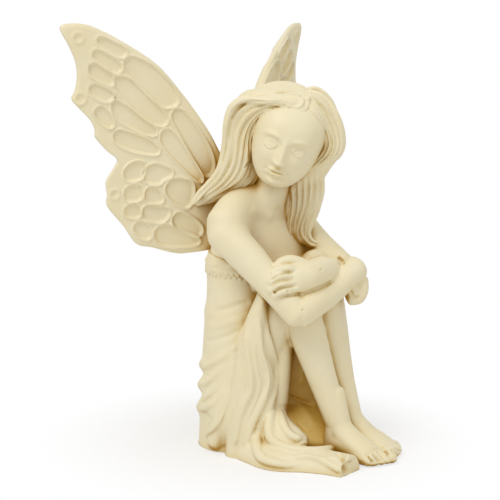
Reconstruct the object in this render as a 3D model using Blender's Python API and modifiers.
"""A seated fairy figurine, cast in one piece: she hugs her knees, with two veined wings on her back.

The figure faces -Y, her left side is +X and +Z is up. The origin is on the flat underside, below her hips.
Named sizes and the points in this file are millimetres. A shape becomes metres when its mesh is made.
"""

import math

import bmesh
import bpy
import numpy as np
from mathutils import Matrix, Vector

MM = 0.001

# Seat and torso: half widths and half depths of the dressed body
HIP_HALF_WIDTH = 23.8
HIP_HALF_DEPTH = 19.0
WAIST_HALF_WIDTH = 20.0
WAIST_HALF_DEPTH = 17.3
CHEST_HALF_WIDTH = 20.0
CHEST_HALF_DEPTH = 14.5
SEAT_BACK = 5.0
TORSO_HEIGHT = 97.0
NECK_RADIUS = 7.2
HEM_SPREAD = 1.0

# Joints of the skeleton
SHOULDER_RIGHT = (-21.5, -0.5, 98.0)
SHOULDER_LEFT = (23.5, -2.5, 97.0)
ELBOW_RIGHT = (-15.0, -35.5, 65.5)
ELBOW_LEFT = (20.5, -31.5, 81.5)
WRIST_RIGHT = (10.0, -37.5, 75.0)
WRIST_LEFT = (-7.0, -34.5, 81.5)
HIP_RIGHT = (-11.0, 3.0, 17.0)
HIP_LEFT = (11.0, 3.0, 17.0)
KNEE_RIGHT = (-3.0, -22.0, 77.5)
KNEE_LEFT = (14.5, -24.0, 77.5)
ANKLE_RIGHT = (4.0, -43.0, 15.0)
ANKLE_LEFT = (15.5, -40.0, 16.0)

# Radii of the limbs
SHOULDER_RADIUS = 8.5
ELBOW_RADIUS = 5.8
FOREARM_RADIUS = 6.0
WRIST_RADIUS = 4.4
THIGH_RADIUS = 14.5
KNEE_RADIUS = 9.0
CALF_RADIUS = 8.2
ANKLE_RADIUS = 5.2
PALM_THICKNESS = 5.5
FINGER_RADIUS = 1.5
FOOT_HALF_WIDTH = 6.8
TOE_RADIUS = 1.8

# Head, in its own coordinates: x to her left, y to her nape, z to her crown
HEAD_CENTRE = (3.4, -14.6, 138.0)
HEAD_HALF_WIDTH = 15.5
HEAD_HALF_DEPTH = 18.0
HEAD_HALF_HEIGHT = 22.5
HEAD_TURN = math.radians(-54.0)
HEAD_TILT = math.radians(18.0)
HEAD_NOD = math.radians(8.0)
NOSE_LENGTH = 3.6
HAIR_THICKNESS = 2.0

# Wings, in their own plane: u runs out from the root and v runs up
WING_THICKNESS = 2.6
WING_ROOT_RIGHT = (0.5, 13.7, 109.2)
WING_ROOT_LEFT = (3.0, 16.0, 100.0)
WING_SPREAD_RIGHT = math.radians(33.0)
WING_SPREAD_LEFT = math.radians(16.0)
CELL_DEPTH = 0.6

# Cloth lying beside and under her legs
CLOTH_HEIGHT = 5.0

# Folds and combed hair
FOLD_RADIUS = 2.0
PLEAT_RADIUS = 1.7
STRAND_RADIUS = 1.2

# Resolution of the casting
VOXEL = 0.62
FLOOR_BLOCK = 400.0
BODY_TRIANGLES = 7800

WING_OUTLINE = [
    (0.0, 9.0), (5.0, 17.5), (10.5, 28.0), (17.0, 38.0), (24.5, 48.0), (33.0, 58.0), (43.0, 65.5),
    (56.5, 73.5), (65.0, 77.0), (73.0, 77.5), (76.0, 75.5), (72.5, 68.5), (69.5, 61.0), (69.0, 54.0),
    (70.0, 49.0), (71.5, 45.5), (69.0, 42.0), (63.5, 36.0), (61.5, 31.5), (61.5, 28.5), (56.5, 22.5),
    (52.0, 18.5), (53.0, 15.5), (57.0, 9.0), (56.5, 3.5), (56.5, -2.0), (49.5, -11.0), (44.0, -19.0),
    (37.0, -21.0), (27.5, -24.0), (21.5, -24.5), (9.0, -23.5), (0.0, -22.0),
]

# Sunken cells of a wing: those of the upper lobe from its tip to the root, then those of the lower lobe
WING_CELLS = [
    [(60.0, 70.0), (59.0, 71.5), (54.0, 69.0), (48.0, 66.0), (48.5, 63.5), (50.5, 63.0), (59.0, 68.5)],
    [(62.0, 64.5), (60.5, 66.0), (55.5, 63.0), (50.0, 59.5), (50.5, 56.5), (54.0, 57.0), (61.5, 62.5)],
    [(64.0, 58.0), (62.0, 60.5), (59.0, 58.0), (54.0, 55.0), (53.5, 51.0), (56.5, 52.0), (63.0, 55.5)],
    [(64.0, 49.5), (62.0, 51.5), (58.5, 49.5), (53.0, 47.0), (56.5, 43.5), (63.0, 47.5)],
    [(61.5, 40.0), (59.5, 41.5), (57.0, 40.5), (53.5, 34.0), (55.5, 32.5), (61.0, 37.5)],
    [(48.5, 60.0), (47.5, 61.5), (45.5, 62.5), (40.5, 60.5), (34.5, 56.5), (27.5, 49.0), (24.5, 43.0),
     (27.0, 41.0), (32.0, 40.5), (47.0, 56.0)],
    [(53.0, 52.5), (52.5, 53.5), (50.5, 54.0), (47.0, 53.0), (42.5, 49.5), (37.0, 43.0), (30.0, 36.0),
     (30.5, 33.0), (34.5, 33.0), (42.0, 38.0), (52.0, 49.0)],
    [(54.0, 42.0), (53.5, 43.0), (51.5, 43.5), (43.5, 37.5), (34.5, 30.5), (36.0, 28.0), (45.5, 32.5),
     (50.5, 35.5), (53.5, 39.0)],
    [(53.5, 28.5), (52.5, 30.5), (50.5, 31.0), (46.5, 29.5), (36.0, 25.0), (33.0, 20.0), (42.0, 21.5),
     (48.0, 23.5), (52.0, 26.0)],
    [(27.5, 36.5), (26.5, 38.5), (25.0, 39.0), (22.5, 38.0), (14.0, 26.0), (10.5, 19.5), (9.0, 13.0),
     (12.0, 8.5), (16.5, 16.0), (26.5, 33.5)],
    [(32.5, 27.5), (32.0, 29.5), (30.5, 30.5), (27.5, 29.5), (19.0, 16.0), (14.5, 9.0), (15.0, 6.5),
     (27.0, 18.0), (32.0, 24.5)],
    [(49.0, 13.0), (47.5, 15.0), (45.5, 16.5), (42.5, 17.0), (40.0, 15.5), (41.0, 10.0), (48.0, 9.0)],
    [(40.5, 11.5), (39.5, 13.5), (37.5, 15.0), (34.5, 15.5), (26.5, 11.5), (32.5, 9.0), (33.5, 7.0),
     (39.5, 8.5)],
    [(30.5, 3.5), (30.0, 6.0), (28.0, 8.0), (25.0, 8.5), (21.0, 7.5), (18.0, 5.0), (20.0, -4.5),
     (25.5, -2.5), (28.5, 0.5)],
    [(49.0, 3.0), (48.0, 5.5), (46.5, 6.5), (41.5, 6.5), (41.5, 0.5), (48.0, 0.5)],
    [(40.0, 2.5), (39.0, 4.5), (37.5, 5.5), (34.5, 4.5), (32.0, 0.0), (33.5, -1.0), (39.0, -0.5)],
    [(49.0, -4.0), (47.5, -2.0), (43.0, -2.0), (42.5, -7.5), (48.5, -6.0)],
    [(41.0, -4.5), (39.0, -2.5), (34.0, -3.5), (29.5, -4.5), (30.0, -8.0), (34.0, -10.0), (40.5, -7.5)],
    [(45.0, -12.0), (44.0, -10.5), (42.0, -9.5), (37.5, -12.0), (38.0, -17.0), (41.5, -16.5), (44.0, -14.0)],
    [(35.5, -16.0), (35.0, -13.5), (33.0, -12.0), (30.5, -11.5), (25.5, -14.0), (16.0, -18.5),
     (16.5, -20.5), (25.0, -21.0), (30.5, -20.5), (34.0, -19.0)],
    [(27.5, -9.5), (26.5, -7.5), (25.0, -6.5), (22.5, -7.0), (15.0, -12.5), (15.0, -16.5), (19.0, -16.5),
     (26.5, -12.5)],
]


def smooth_rows(rows, steps):
    """Rows of numbers run through by a Catmull-Rom curve, with that many steps between each pair."""
    rows = np.array(rows, float)
    padded = np.vstack([2 * rows[0] - rows[1], rows, 2 * rows[-1] - rows[-2]])
    t = np.linspace(0, 1, steps, endpoint=False)[:, None]
    pieces = []
    for before, start, end, after in zip(padded, padded[1:], padded[2:], padded[3:]):
        bend = 2 * start + (end - before) * t
        bend += (2 * before - 5 * start + 4 * end - after) * t**2
        bend += (3 * start - before - 3 * end + after) * t**3
        pieces.append(bend / 2)
    return np.vstack(pieces + [rows[-1:]])


def unit(vectors):
    return vectors / np.linalg.norm(vectors, axis=-1, keepdims=True)


def add_object(mesh, name, collection):
    obj = bpy.data.objects.new(name, mesh)
    collection.objects.link(obj)
    return obj


def loft(name, keys, collection, side=(1, 0, 0), around=18, steps=4, cap=0.7):
    """A closed skin through elliptical sections with round ends.

    A key is x, y, z, half width along side, half depth across it.
    """
    rows = smooth_rows(keys, steps)
    centre, wide, deep = rows[:, :3], rows[:, 3], rows[:, 4]
    along = unit(np.gradient(centre, axis=0))
    side = np.array(side, float)
    across = unit(side - (along @ side)[:, None] * along)
    out = np.cross(along, across)
    turn = np.linspace(0, 2 * math.pi, around, endpoint=False)
    ring_x = np.cos(turn)[:, None]
    ring_y = np.sin(turn)[:, None]
    swell = [(math.sin(a), math.cos(a)) for a in (0.0, 0.55, 1.05)]
    stations = [(0, -reach, share) for reach, share in reversed(swell[1:])]
    stations += [(i, 0.0, 1.0) for i in range(len(rows))]
    stations += [(len(rows) - 1, reach, share) for reach, share in swell[1:]]
    rings = []
    for i, reach, share in stations:
        middle = centre[i] + along[i] * reach * cap * deep[i]
        rings.append(middle + share * (ring_x * wide[i] * across[i] + ring_y * deep[i] * out[i]))
    ends = [centre[0] - along[0] * cap * deep[0], centre[-1] + along[-1] * cap * deep[-1]]
    points = np.vstack(rings + [np.array(ends)])
    first = len(points) - 2
    last = len(points) - 1
    faces = []
    for r in range(len(rings) - 1):
        for k in range(around):
            n = (k + 1) % around
            faces.append((r * around + k, r * around + n, (r + 1) * around + n, (r + 1) * around + k))
    top = (len(rings) - 1) * around
    for k in range(around):
        n = (k + 1) % around
        faces.append((first, n, k))
        faces.append((last, top + k, top + n))
    mesh = bpy.data.meshes.new(name)
    mesh.from_pydata((points * MM).tolist(), [], faces)
    return add_object(mesh, name, collection)


def strand(name, keys, collection, side=(1, 0, 0)):
    """A tapering round ridge, such as a finger or a fold. A key is x, y, z, radius."""
    return loft(name, [(x, y, z, r, r) for x, y, z, r in keys], collection, side, around=10, steps=3)


def limb(name, start, end, radii, collection, bow=(0, 0, 0)):
    """A limb between two joints: round sections of the radii given, bowed to one side in the middle."""
    keys = []
    for i, radius in enumerate(radii):
        t = i / (len(radii) - 1)
        point = Vector(start).lerp(Vector(end), t) + Vector(bow) * 4 * t * (1 - t)
        keys.append((*point, radius, radius))
    return loft(name, keys, collection, side=(0.3, 0.2, 0.9))


def ball(name, centre, radii, collection, turn=None):
    """A sphere stretched to three half sizes."""
    mesh = bpy.data.meshes.new(name)
    form = bmesh.new()
    bmesh.ops.create_uvsphere(form, u_segments=24, v_segments=16, radius=MM)
    place = Matrix.Translation(Vector(centre) * MM) @ (turn or Matrix.Identity(4))
    bmesh.ops.transform(form, matrix=place @ Matrix.Diagonal([*radii, 1.0]), verts=form.verts)
    form.to_mesh(mesh)
    form.free()
    return add_object(mesh, name, collection)


def head_turn():
    lean = Matrix.Rotation(HEAD_TILT, 4, "Y") @ Matrix.Rotation(HEAD_NOD, 4, "X")
    return Matrix.Rotation(HEAD_TURN, 4, "Z") @ lean


def from_head(x, y, z):
    """A point of the head's own coordinates in the figure's."""
    return Vector(HEAD_CENTRE) + head_turn() @ Vector((x, y, z))


def torso_keys():
    hip = HIP_HALF_WIDTH
    return [
        (0, SEAT_BACK - 1, -3, hip + HEM_SPREAD, HIP_HALF_DEPTH + HEM_SPREAD),
        (0, SEAT_BACK - 0.5, 10, hip, HIP_HALF_DEPTH),
        (0, SEAT_BACK - 0.5, 20, hip, HIP_HALF_DEPTH),
        (0, SEAT_BACK, 0.38 * TORSO_HEIGHT, hip - 2, HIP_HALF_DEPTH - 1),
        (0.5, SEAT_BACK + 0.5, 0.54 * TORSO_HEIGHT, WAIST_HALF_WIDTH + 0.5, WAIST_HALF_DEPTH),
        (1, SEAT_BACK + 0.5, 0.7 * TORSO_HEIGHT, WAIST_HALF_WIDTH - 0.5, WAIST_HALF_DEPTH - 1),
        (1.5, SEAT_BACK + 1, 0.82 * TORSO_HEIGHT, CHEST_HALF_WIDTH, CHEST_HALF_DEPTH + 1.5),
        (2.5, SEAT_BACK - 0.5, 0.925 * TORSO_HEIGHT, CHEST_HALF_WIDTH + 0.5, CHEST_HALF_DEPTH - 0.5),
        (3.5, SEAT_BACK - 2, TORSO_HEIGHT, CHEST_HALF_WIDTH - 3, CHEST_HALF_DEPTH - 3),
        (4, SEAT_BACK - 5, TORSO_HEIGHT + 5, CHEST_HALF_WIDTH / 2, CHEST_HALF_DEPTH - 5.5),
    ]


def on_dress(turn, height, lift=0.0):
    """A point on the dressed trunk: turn in degrees from her left, through her back, and height in mm."""
    keys = np.array(torso_keys(), float)
    x, y, wide, deep = (np.interp(height, keys[:, 2], keys[:, i]) for i in (0, 1, 3, 4))
    angle = math.radians(turn)
    return Vector((x + (wide + lift) * math.cos(angle), y + (deep + lift) * math.sin(angle), height))


def build_torso(forms):
    """The dressed trunk from the seat to the base of the neck, with her lap and shoulders."""
    loft("torso", torso_keys(), forms, side=(1, -0.1, 0), around=32, steps=4)
    wide = CHEST_HALF_WIDTH
    deep = CHEST_HALF_DEPTH
    chest = [
        (3.4, SEAT_BACK - 7.5, TORSO_HEIGHT + 15, wide - 13, deep - 7.5),
        (3.8, SEAT_BACK - 6.5, TORSO_HEIGHT + 8, wide - 11.5, deep - 6.5),
        (4.4, SEAT_BACK - 7, TORSO_HEIGHT + 2, wide - 7, deep - 6),
        (5, SEAT_BACK - 9, TORSO_HEIGHT - 7, wide - 1, deep - 5),
        (5, SEAT_BACK - 10.5, TORSO_HEIGHT - 15, wide - 1, deep - 5),
        (5, SEAT_BACK - 14, TORSO_HEIGHT - 23, wide - 3, deep - 4),
    ]
    loft("chest", chest, forms, side=(1, -0.35, 0), around=24)
    ball("side", (14, SEAT_BACK - 9, TORSO_HEIGHT - 9), (0.55 * wide, 0.55 * deep, 12), forms)
    ball("lap", (5, SEAT_BACK - 17, TORSO_HEIGHT - 23), (16, 11, 11), forms)
    ball("between_arms", (4, SEAT_BACK - 38, TORSO_HEIGHT - 24.5), (12, 6, 7), forms)
    crease = [(-9.5, -33.5, 72.5), (-3, -34.5, 74.5), (5.5, -34.5, 76), (14, -34.5, 77.5)]
    strand("crease", [(*point, WRIST_RADIUS) for point in crease], forms)
    neck = from_head(0, 4, -14)
    keys = [
        (4, SEAT_BACK - 4, TORSO_HEIGHT, NECK_RADIUS + 5.8, NECK_RADIUS + 0.8),
        (3.6, SEAT_BACK - 6.5, TORSO_HEIGHT + 6, NECK_RADIUS + 2.8, NECK_RADIUS + 1.2),
        (3.2, SEAT_BACK - 10, TORSO_HEIGHT + 12, NECK_RADIUS + 1, NECK_RADIUS + 0.6),
        (*neck, NECK_RADIUS, NECK_RADIUS),
    ]
    loft("neck", keys, forms)
    thick = SHOULDER_RADIUS
    slope = [
        (4, -2, 109.5, thick - 1.9), (-2.5, -1, 109, thick - 2.1), (-9.5, -0.5, 108, thick - 1.9),
        (-16, -0.5, 106, thick - 1.1), (-21, 0, 101, thick),
    ]
    strand("neck_to_shoulder", slope, forms)
    for name, shoulder in (("right", SHOULDER_RIGHT), ("left", SHOULDER_LEFT)):
        collar = Vector((4, SEAT_BACK - 4, TORSO_HEIGHT + 1))
        radii = (SHOULDER_RADIUS - 1.5, SHOULDER_RADIUS - 0.5, SHOULDER_RADIUS)
        limb("shoulder_" + name, collar, shoulder, radii, forms, bow=(0, 2, 0))


def build_arms(forms):
    elbow = ELBOW_RADIUS
    upper = (SHOULDER_RADIUS, SHOULDER_RADIUS - 0.6, elbow + 1.2, elbow + 0.5, elbow)
    slim = [radius - 0.9 for radius in upper]
    full = FOREARM_RADIUS
    lower = (full + 0.2, full + 0.1, full - 0.1, full - 0.3, WRIST_RADIUS + 1.2)
    limb("upper_arm_right", SHOULDER_RIGHT, ELBOW_RIGHT, upper, forms, bow=(-0.8, 0, 1.2))
    limb("forearm_right", ELBOW_RIGHT, WRIST_RIGHT, lower, forms, bow=(0, -0.5, -0.5))
    limb("upper_arm_left", SHOULDER_LEFT, ELBOW_LEFT, slim, forms, bow=(-0.8, 0.9, 0.5))
    lower = (full + 0.2, full + 0.6, full + 0.7, full + 0.3, WRIST_RADIUS + 1.5)
    limb("forearm_left", ELBOW_LEFT, WRIST_LEFT, lower, forms, bow=(0, -0.5, -0.3))


def build_hand_on_arm(forms):
    """Her left hand, laid flat on the right arm above the elbow."""
    wrist = Vector(WRIST_LEFT)
    half = PALM_THICKNESS / 2
    tall = WRIST_RADIUS + 2
    keys = [
        (*(wrist + Vector((5, 0.8, -0.2))), tall - 1.6, half + 2),
        (*wrist, tall - 0.6, half + 2.5),
        (*(wrist + Vector((-3.5, 1, -0.5))), tall, half + 2),
        (*(wrist + Vector((-6, 2.2, -1))), tall - 0.2, half + 1),
        (*(wrist + Vector((-8.5, 3.5, -1.5))), tall - 1, half - 0.4),
    ]
    loft("palm_left", keys, forms, side=(0, 0, 1))
    ball("knuckles", wrist + Vector((-10, 5, -0.5)), (3.6, 3, tall - 0.4), forms)
    fingers = [
        [(-6.5, 1, 3.5), (-9, 4, 4), (-10.5, 7.5, 3.5), (-13, 8.5, 2)],
        [(-8.5, -0.5, 1), (-12.5, 4, 1), (-15, 6.5, 0), (-16, 7.5, -2)],
        [(-9, -1.5, -1.5), (-13.5, 2.5, -2), (-15.5, 5, -3), (-16.5, 7, -5)],
        [(-8.5, -2.5, -4), (-13, 1, -4.5), (-15, 3, -5.5), (-16, 5, -7)],
    ]
    proud = Vector((-0.3, -0.3, 0.1))
    for i, points in enumerate(fingers):
        keys = [(*(wrist + Vector(point) + proud), FINGER_RADIUS) for point in points]
        strand("finger_left_%d" % (i + 1), keys, forms, side=(0, 0, 1))


def build_hand_on_elbow(forms):
    """Her right hand over the left elbow, with the fingers curled in below it."""
    wrist = Vector(WRIST_RIGHT)
    half = PALM_THICKNESS / 2
    keys = [
        (*wrist, WRIST_RADIUS + 1.2, WRIST_RADIUS + 1.2),
        (*(wrist + Vector((4.5, -1.5, 3))), half + 2.8, half + 2.8),
        (*(wrist + Vector((9, -2.5, 6))), half + 3.1, half + 3),
    ]
    loft("palm_right", keys, forms, side=(0, 0, 1))
    thick = FINGER_RADIUS
    curled = [
        [(11.5, -4.5, 0.5, thick + 1), (10.5, -5.5, -3, thick + 0.9), (8.5, -5, -6.5, thick + 0.9),
         (6, -2.5, -7.5, thick + 0.9)],
        [(8.5, -1.5, -1, thick + 1.6), (8, -3, -4, thick + 1.8), (7.5, -2, -7, thick + 1.4)],
    ]
    for i, points in enumerate(curled):
        keys = [(*(wrist + Vector((x, y, z))), radius) for x, y, z, radius in points]
        strand("finger_right_%d" % (i + 1), keys, forms)


def build_leg(name, hip, knee, ankle, inward, veer, forms):
    """A bent leg with its foot flat on the ground.

    inward is the side of the big toe, +1 or -1 along x, and veer is how far x shifts from heel to toes.
    """
    thigh = (THIGH_RADIUS, THIGH_RADIUS - 1, THIGH_RADIUS - 2.5, KNEE_RADIUS + 1.2, KNEE_RADIUS)
    calf = (CALF_RADIUS - 0.3, CALF_RADIUS - 1.6)
    shin = (KNEE_RADIUS, KNEE_RADIUS - 0.4, *calf, ANKLE_RADIUS + 0.2, ANKLE_RADIUS)
    limb("thigh_" + name, hip, knee, thigh, forms)
    limb("shin_" + name, knee, ankle, shin, forms, bow=(0, 0.8, 0))
    x, y, height = ankle
    limb("heel_" + name, ankle, (x - 0.1 * veer, y + 2.5, 4), (ANKLE_RADIUS,) * 3, forms)
    wide = FOOT_HALF_WIDTH
    instep = [
        (x, y + 1.2, height + 14, wide - 3.4, wide - 3.4), (x, y - 0.2, height + 4, wide - 2.4, wide - 2.4),
        (x, y - 1.6, height - 2, wide - 1.7, wide - 1.7),
        (x + 0.25 * veer, y - 6.5, 0.53 * height, wide - 0.6, wide - 1.6),
        (x + 0.6 * veer, y - 13, 0.33 * height, wide, 0.3 * height),
        (x + 0.9 * veer, y - 19, 0.19 * height, wide, 0.2 * height),
    ]
    loft("instep_" + name, instep, forms, around=20)
    keys = [
        (x, y + 3, 0.35 * height, wide - 1.6, 0.35 * height),
        (x + 0.1 * veer, y - 3, 0.5 * height, wide - 0.8, 0.5 * height),
        (x + 0.4 * veer, y - 9, 0.36 * height, wide - 0.2, 0.38 * height),
        (x + 0.7 * veer, y - 15, 0.22 * height, wide + 0.6, 0.28 * height),
        (x + 0.9 * veer, y - 19.5, 2.2, wide + 0.2, 2.6),
    ]
    loft("foot_" + name, keys, forms, around=20)
    for i in range(5):
        reach = (26, 25.4, 24.4, 23, 20.8)[i]
        across = x + veer + inward * (5.2 - 2.65 * i - (0.5 if i else 0))
        radius = TOE_RADIUS + (0.7 if i == 0 else 0)
        keys = [
            (across - 0.15 * veer, y - 17, 3.0, radius),
            (across, y - reach + 3.5, 3.2, radius),
            (across, y - reach + radius, 1.6, radius - 0.2),
        ]
        strand("toe_%s_%d" % (name, i + 1), keys, forms)


def lay_ridges(name, keys, side, outward, shares, radius, forms):
    """Ridges laid along the outward face of a lofted form with the keys given.

    shares says how far each ridge lies towards side, from -1 to 1, at each key of the form.
    """
    for i, line in enumerate(shares):
        ridge = []
        for (x, y, z, wide, deep), share in zip(keys, line):
            rise = deep * math.sqrt(1 - min(0.98, abs(share)) ** 2)
            point = Vector((x, y, z)) + Vector(side) * share * wide + Vector(outward) * rise
            ridge.append((*point, radius))
        strand("%s_%d" % (name, i + 1), ridge, forms)


def build_dress(forms):
    """The folds that wrap her hips, and the edge of the dress that hangs beside her thigh."""
    bold = FOLD_RADIUS
    faint = bold / 2
    wraps = [
        [(215, 67, faint), (190, 63, faint), (160, 60, faint), (135, 59, faint), (110, 58, faint)],
        [(216, 55, faint), (200, 48, bold), (178, 41, bold), (150, 37, bold), (125, 34, bold),
         (95, 33, faint)],
        [(214, 48, faint), (198, 39, bold), (176, 32, bold), (150, 28, bold), (125, 25, bold),
         (95, 26, faint)],
        [(212, 41, faint), (197, 31, bold), (175, 23, bold), (150, 18, bold), (128, 15, bold),
         (100, 17, faint)],
        [(212, 35, faint), (200, 23, bold), (185, 12, bold), (172, 4, bold)],
        [(215, 30, faint), (207, 17, bold), (199, 5, bold)],
        [(40, 66, faint), (60, 58, bold), (80, 52, bold), (100, 49, bold), (118, 48, faint)],
        [(20, 50, faint), (40, 42, bold), (65, 37, bold), (90, 38, faint)],
        [(-10, 44, faint), (10, 34, bold), (35, 26, bold), (65, 23, bold), (90, 25, faint)],
        [(-20, 34, faint), (0, 23, bold), (25, 13, bold), (55, 9, bold), (85, 10, faint)],
    ]
    neckline = [(244, 82), (225, 83.5), (200, 83), (170, 82), (130, 82), (90, 82), (50, 82), (20, 82)]
    lace = [(243, 73.5), (225, 75.5), (200, 77.5), (170, 78), (130, 78), (90, 78), (50, 78), (20, 78)]
    for edge in (neckline, lace):
        wraps.append([(turn, height, faint) for turn, height in edge])
    for i, keys in enumerate(wraps):
        points = [(*on_dress(turn, height, 0.4 - 0.4 * radius), radius) for turn, height, radius in keys]
        strand("wrap_%d" % (i + 1), points, forms, side=(0, 0, 1))
    panel = [
        (-15.4, -15.9, 68, 3.0, 5.5), (-16.5, -13.8, 52, 7, 6), (-16.8, -13.0, 36, 8.8, 6.5),
        (-17.4, -12.0, 24, 8.9, 6.5), (-18.8, -10.5, 12, 8.0, 6.5), (-19.4, -10, -2, 8.5, 7),
    ]
    sideways = (0.643, -0.766, 0)
    outward = (-0.766, -0.643, 0)
    loft("panel", panel, forms, side=sideways, around=24)
    pleats = [
        (-0.75, -0.9, -0.92, -0.95, -0.95, -0.95), (-0.4, -0.5, -0.45, -0.42, -0.6, -0.75),
        (0, -0.1, 0.05, 0.08, -0.2, -0.5), (0.4, 0.35, 0.5, 0.55, 0.25, -0.1),
        (0.85, 0.8, 0.9, 0.93, 0.7, 0.4),
    ]
    lay_ridges("pleat", panel, sideways, outward, pleats, PLEAT_RADIUS, forms)


def build_cloth(forms):
    """The end of the dress that lies on the ground beside her feet, and the cloth under her knees."""
    high = CLOTH_HEIGHT
    tail = [
        (-17, -14, 0, 10, high + 5),
        (-18.5, -22, 0, 10.5, high + 4),
        (-19.5, -31, 0, 11, high + 3.5),
        (-15, -41, 0, 9.5, high + 3),
        (-12, -51, 0, 8.5, high + 2.8),
        (-11.2, -61.5, 0, 7.2, high + 3),
    ]
    loft("tail", tail, forms, around=24, cap=0.1)
    thick = FOLD_RADIUS
    full = 1.2 * thick
    ridges = [
        [(-15.3, -19.5, 34, thick), (-15.3, -19.8, 18, thick), (-12, -24, high + 4, full),
         (-8, -31, high + 2, full), (-5, -40, high + 2, thick), (-5, -52, high + 1.5, thick)],
        [(-18.7, -19.2, 34, thick), (-19.2, -19.8, 17, thick), (-17, -25, high + 4.5, full),
         (-13.5, -33, high + 3.5, thick), (-10.5, -44, high + 3, thick), (-11, -58, high + 2.5, thick)],
        [(-22, -17.2, 30, thick), (-23.5, -18, 14, thick), (-24, -24, high + 1.5, full),
         (-22, -33, high + 0.5, full), (-17.5, -43, high + 1, thick), (-15.5, -58, high + 0.5, thick)],
        [(-26, -20, high - 2, full), (-27.5, -30, high - 2.5, full), (-21.5, -39, high - 2, full),
         (-18, -49, high - 1.5, thick), (-17, -61, high - 2, full)],
    ]
    for i, keys in enumerate(ridges):
        strand("ridge_%d" % (i + 1), keys, forms)
    ground = [(2, -4, 0, 20, high), (4, -18, 0, 17, high), (5, -32, 0, 13, high), (8, -42, 0, 10, high)]
    loft("ground_cloth", ground, forms, around=24)
    ball("mound", (-5, -23, high - 1), (11, 9, high + 4), forms)
    ball("mound_end", (2, -30, high - 2), (8, 8, high), forms)
    web = [
        (3.5, -23.5, 53.5, 14, high), (4, -23.5, 40, 15, high), (4.5, -23, 24, 16, high),
        (6, -22, 7.5, 17, high),
    ]
    loft("web", web, forms, side=(0.643, -0.766, 0), around=24)


def build_head(forms):
    """An egg with its chin forward, a nose, closed lips and eyes, all in the head's coordinates."""
    side = head_turn() @ Vector((1, 0, 0))
    tall = HEAD_HALF_HEIGHT
    wide = HEAD_HALF_WIDTH
    deep = HEAD_HALF_DEPTH
    shape = [
        (-9.4, -0.78, 0.32, 0.3), (-8.0, -0.66, 0.57, 0.52), (-5.2, -0.44, 0.83, 0.76),
        (-2.5, -0.12, 0.97, 0.91), (-0.8, 0.18, 1.0, 1.0), (0.5, 0.44, 0.95, 1.0),
        (1.5, 0.62, 0.78, 0.82), (2.0, 0.72, 0.45, 0.45),
    ]
    keys = [(*from_head(0, y, z * tall), w * wide, d * deep) for y, z, w, d in shape]
    loft("head", keys, forms, side=side, around=28)
    tip = -deep - NOSE_LENGTH / 2
    nose = [
        (0, -deep + 0.6, 3, 1.6), (0, tip + 1.5, -1.5, 1.8), (0, tip + 0.6, -4.5, 2.2),
        (0, tip + 2.2, -6.5, 2),
    ]
    strand("nose", [(*from_head(x, y, z), r) for x, y, z, r in nose], forms, side=side)
    ball("mouth", from_head(0, -deep + 4.6, -10.5), (6, 3.2, 4.4), forms, head_turn())
    ball("upper_lip", from_head(0, -deep + 2.2, -9.9), (4, 1.7, 1.1), forms, head_turn())
    ball("lower_lip", from_head(0, -deep + 2.7, -12), (3.3, 1.6, 1.1), forms, head_turn())
    ball("chin", from_head(0, -deep + 6.4, -16), (4.4, 4.2, 4), forms, head_turn())
    for x in (-6.2, 6.2):
        ball("eye", from_head(x, -deep + 2.2, 1), (3.2, 2, 1.7), forms, head_turn())
        ball("cheek", from_head(x * 1.1, -deep + 7, -6), (5.4, 4, 5), forms, head_turn())


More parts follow.
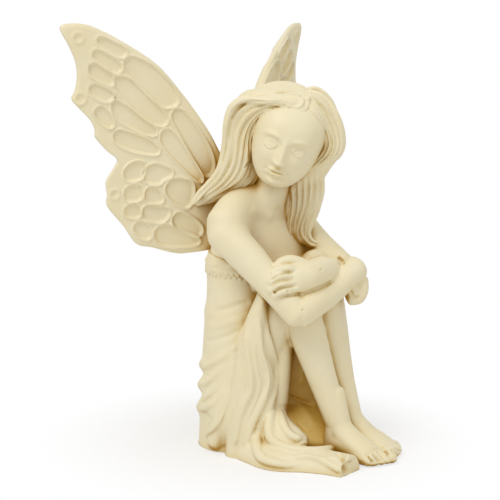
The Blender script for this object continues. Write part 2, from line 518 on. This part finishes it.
def build_hair(forms):
    """The crown of hair and its locks: swept back on her right, falling to her chest on her left."""
    thick = HAIR_THICKNESS
    cap = (HEAD_HALF_WIDTH + thick, HEAD_HALF_DEPTH + thick - 2, HEAD_HALF_HEIGHT + thick - 4)
    ball("crown", from_head(0, 5, 1), cap, forms, head_turn())
    across = (0.643, -0.766, 0)
    view = (-0.749, -0.629, 0.208)
    swept = [
        (2, -20, 154.5, 3, 3.5), (-3.5, -11.5, 153.5, 5.5, 4.5), (-7, -4, 150.5, 6.5, 5),
        (-8.5, 0.5, 143, 6.6, 5), (-9, 2.5, 134.5, 6, 5), (-8.5, 3, 127, 7, 5),
        (-9.5, 7.5, 119, 7.2, 5), (-11.5, 14, 112.5, 5, 4), (-14, 21.5, 107, 1.6, 2),
    ]
    temple = [
        (6.5, -23.5, 155.5, 2, 3), (10.5, -26, 152, 3.6, 4), (14, -27.5, 145.5, 4.2, 5),
        (16, -29.5, 138.5, 3.6, 5), (16, -30, 132, 3.6, 5), (14, -26, 126, 3, 4.5), (13, -22, 121, 2.4, 4),
    ]
    fall = [
        (14, -26, 126, 2.6, 4), (13.5, -21.5, 120, 3.8, 4.5), (13.5, -17, 113.5, 6.6, 5),
        (14, -15, 106.5, 6.6, 4.5), (13, -14.5, 100, 5.2, 4), (12.5, -14.5, 94, 3.6, 3),
    ]
    combed = {
        "swept": (swept, (-0.95, -0.45, 0.05, 0.5, 0.95)),
        "temple": (temple, (-0.85, 0, 0.85)),
        "fall": (fall, (-0.9, -0.3, 0.3, 0.9)),
    }
    for name, (keys, shares) in combed.items():
        loft(name, keys, forms, side=across, around=20)
        lines = [[share] * len(keys) for share in shares]
        lay_ridges(name + "_strand", keys, across, view, lines, STRAND_RADIUS, forms)
    brim = [
        (4.5, -26.5, 156, 1.2), (-0.5, -25, 154.5, 1.4), (-5, -19.5, 155, 1.5), (-8, -13.5, 156, 1.5),
        (-9.5, -7.5, 156.5, 1.6), (-11, -2.5, 154.5, 1.7), (-12.5, 1, 150, 1.6),
    ]
    strand("brim", brim, forms)
    nape = [(3, -0.5, 121, 5, 5), (3.5, 3.5, 115, 6, 5), (1, 8, 109.5, 6, 5), (-1.5, 12.5, 105, 5, 4)]
    loft("nape", nape, forms, side=across, around=20)
    behind = [
        [(15.5, -23, 148, 7, 5), (18.5, -21, 138, 8, 6), (17.5, -16.5, 127, 8, 6), (16, -11.5, 116, 7, 6),
         (16, -7, 106, 5, 5)],
        [(10, -10, 154.5, 5, 4), (13.5, -3, 150.5, 7, 5), (16, 0.5, 143, 7, 6.5), (17, 2.5, 134, 8, 8),
         (17, 4, 122, 8, 8), (15, 8, 110, 7, 6), (12, 14, 100, 5, 4), (10, 17, 92, 3, 3)],
        [(4, -10, 155.5, 5, 4), (4.5, -2, 152.5, 7.5, 5), (5, 4.5, 146, 8, 6), (5, 8, 137, 9, 7.5),
         (3, 10, 124, 9, 8), (0, 12, 111, 8, 6), (-2, 16.5, 100, 5, 4), (-2, 19, 92, 3, 3)],
    ]
    for i, keys in enumerate(behind):
        loft("lock_%d" % (i + 1), keys, forms, side=view, around=14)


def evaluated_mesh(obj):
    graph = bpy.context.evaluated_depsgraph_get()
    return bpy.data.meshes.new_from_object(obj.evaluated_get(graph), depsgraph=graph)


def fuse(name, forms, collection):
    """All the forms as one skin: remeshed, smoothed and thinned to the wanted number of triangles."""
    skin = bmesh.new()
    for obj in forms.objects:
        skin.from_mesh(obj.data)
    mesh = bpy.data.meshes.new(name)
    skin.to_mesh(mesh)
    skin.free()
    body = add_object(mesh, name, collection)
    remesh = body.modifiers.new("remesh", "REMESH")
    remesh.mode = "VOXEL"
    remesh.voxel_size = VOXEL * MM
    smooth = body.modifiers.new("smooth", "SMOOTH")
    smooth.factor = 0.5
    smooth.iterations = 2
    body.data = outer_skin(evaluated_mesh(body))
    body.modifiers.clear()
    thin = body.modifiers.new("thin", "DECIMATE")
    thin.ratio = BODY_TRIANGLES / (2 * len(body.data.polygons))
    body.data = evaluated_mesh(body)
    body.modifiers.clear()
    return body


def outer_skin(mesh):
    """The mesh without the skins of hollows that are closed in."""
    form = bmesh.new()
    form.from_mesh(mesh)
    groups = []
    seen = set()
    for start in form.verts:
        if start in seen:
            continue
        seen.add(start)
        group = [start]
        for vert in group:
            for edge in vert.link_edges:
                other = edge.other_vert(vert)
                if other not in seen:
                    seen.add(other)
                    group.append(other)
        groups.append(group)
    groups.sort(key=len)
    for group in groups[:-1]:
        bmesh.ops.delete(form, geom=group, context="VERTS")
    form.to_mesh(mesh)
    form.free()
    return mesh


def flat_shape(name, outlines, half_thickness, place, collection):
    """Closed outlines in a plane given half their thickness on both sides, then put in their place."""
    curve = bpy.data.curves.new(name, "CURVE")
    curve.dimensions = "2D"
    curve.fill_mode = "BOTH"
    curve.extrude = half_thickness * MM
    for outline in outlines:
        spline = curve.splines.new("POLY")
        spline.points.add(len(outline) - 1)
        for point, (u, v) in zip(spline.points, outline):
            point.co = (u * MM, v * MM, 0, 1)
        spline.use_cyclic_u = True
    shape = add_object(curve, name, collection)
    mesh = evaluated_mesh(shape)
    bpy.data.objects.remove(shape)
    form = bmesh.new()
    form.from_mesh(mesh)
    bmesh.ops.remove_doubles(form, verts=form.verts, dist=0.01 * MM)
    bmesh.ops.transform(form, matrix=place, verts=form.verts)
    bmesh.ops.recalc_face_normals(form, faces=form.faces)
    form.to_mesh(mesh)
    form.free()
    return add_object(mesh, name, collection)


def wing_place(root, outward, offset):
    """The matrix of a wing's plane at its root, moved across the plane by offset."""
    out = Vector(outward)
    up = Vector((0, 0, 1))
    across = out.cross(up)
    origin = (Vector(root) + across * offset) * MM
    return Matrix((
        (out.x, up.x, across.x, origin.x),
        (out.y, up.y, across.y, origin.y),
        (out.z, up.z, across.z, origin.z),
        (0, 0, 0, 1),
    ))


def cut(target, cutter, operation):
    change = target.modifiers.new(cutter.name, "BOOLEAN")
    change.operation = operation
    change.solver = "EXACT"
    change.object = cutter


def apply_cuts(target):
    target.data = evaluated_mesh(target)
    target.modifiers.clear()


def build_wing(name, root, outward, collection, cutters):
    """A flat slab with the wing's outline, and its cells sunk into both faces."""
    half = WING_THICKNESS / 2
    wing = flat_shape(name, [WING_OUTLINE], half, wing_place(root, outward, 0), collection)
    for side in (-1, 1):
        place = wing_place(root, outward, side * 2 * half)
        cells = flat_shape("%s_cells_%d" % (name, side), WING_CELLS, half + CELL_DEPTH, place, cutters)
        cut(wing, cells, "DIFFERENCE")
    apply_cuts(wing)
    return wing


def resin():
    material = bpy.data.materials.new("cream_resin")
    material.use_nodes = True
    surface = material.node_tree.nodes["Principled BSDF"]
    surface.inputs["Base Color"].default_value = (0.80, 0.72, 0.50, 1)
    surface.inputs["Roughness"].default_value = 0.55
    surface.inputs["Metallic"].default_value = 0.0
    return material


def new_collection(name, hidden):
    collection = bpy.data.collections.new(name)
    bpy.context.scene.collection.children.link(collection)
    collection.hide_render = hidden
    return collection


def main():
    for obj in list(bpy.data.objects):
        bpy.data.objects.remove(obj)
    forms = new_collection("forms", True)
    cutters = new_collection("cutters", True)
    figurine = new_collection("fairy_figurine", False)
    build_torso(forms)
    build_arms(forms)
    build_hand_on_arm(forms)
    build_hand_on_elbow(forms)
    build_leg("right", HIP_RIGHT, KNEE_RIGHT, ANKLE_RIGHT, 1, 2.5, forms)
    build_leg("left", HIP_LEFT, KNEE_LEFT, ANKLE_LEFT, -1, 5, forms)
    build_dress(forms)
    build_cloth(forms)
    build_head(forms)
    build_hair(forms)
    body = fuse("fairy_figurine", forms, figurine)
    right = (-math.cos(WING_SPREAD_RIGHT), math.sin(WING_SPREAD_RIGHT), 0)
    left = (math.cos(WING_SPREAD_LEFT), math.sin(WING_SPREAD_LEFT), 0)
    cut(body, build_wing("wing_right", WING_ROOT_RIGHT, right, cutters, cutters), "UNION")
    cut(body, build_wing("wing_left", WING_ROOT_LEFT, left, cutters, cutters), "UNION")
    floor = ball("floor", (0, 0, 0), (1, 1, 1), cutters)
    floor.data = floor_block()
    cut(body, floor, "DIFFERENCE")
    apply_cuts(body)
    body.data.materials.clear()
    body.data.materials.append(resin())
    body.data.shade_smooth()
    body.data.set_sharp_from_angle(angle=math.radians(50))
    for obj in list(forms.objects) + list(cutters.objects):
        bpy.data.objects.remove(obj)


def floor_block():
    """A block below the resting plane, which cuts the underside flat."""
    mesh = bpy.data.meshes.new("floor")
    form = bmesh.new()
    bmesh.ops.create_cube(form, size=FLOOR_BLOCK * MM)
    bmesh.ops.translate(form, vec=(0, 0, -FLOOR_BLOCK / 2 * MM), verts=form.verts)
    form.to_mesh(mesh)
    form.free()
    return mesh


main()
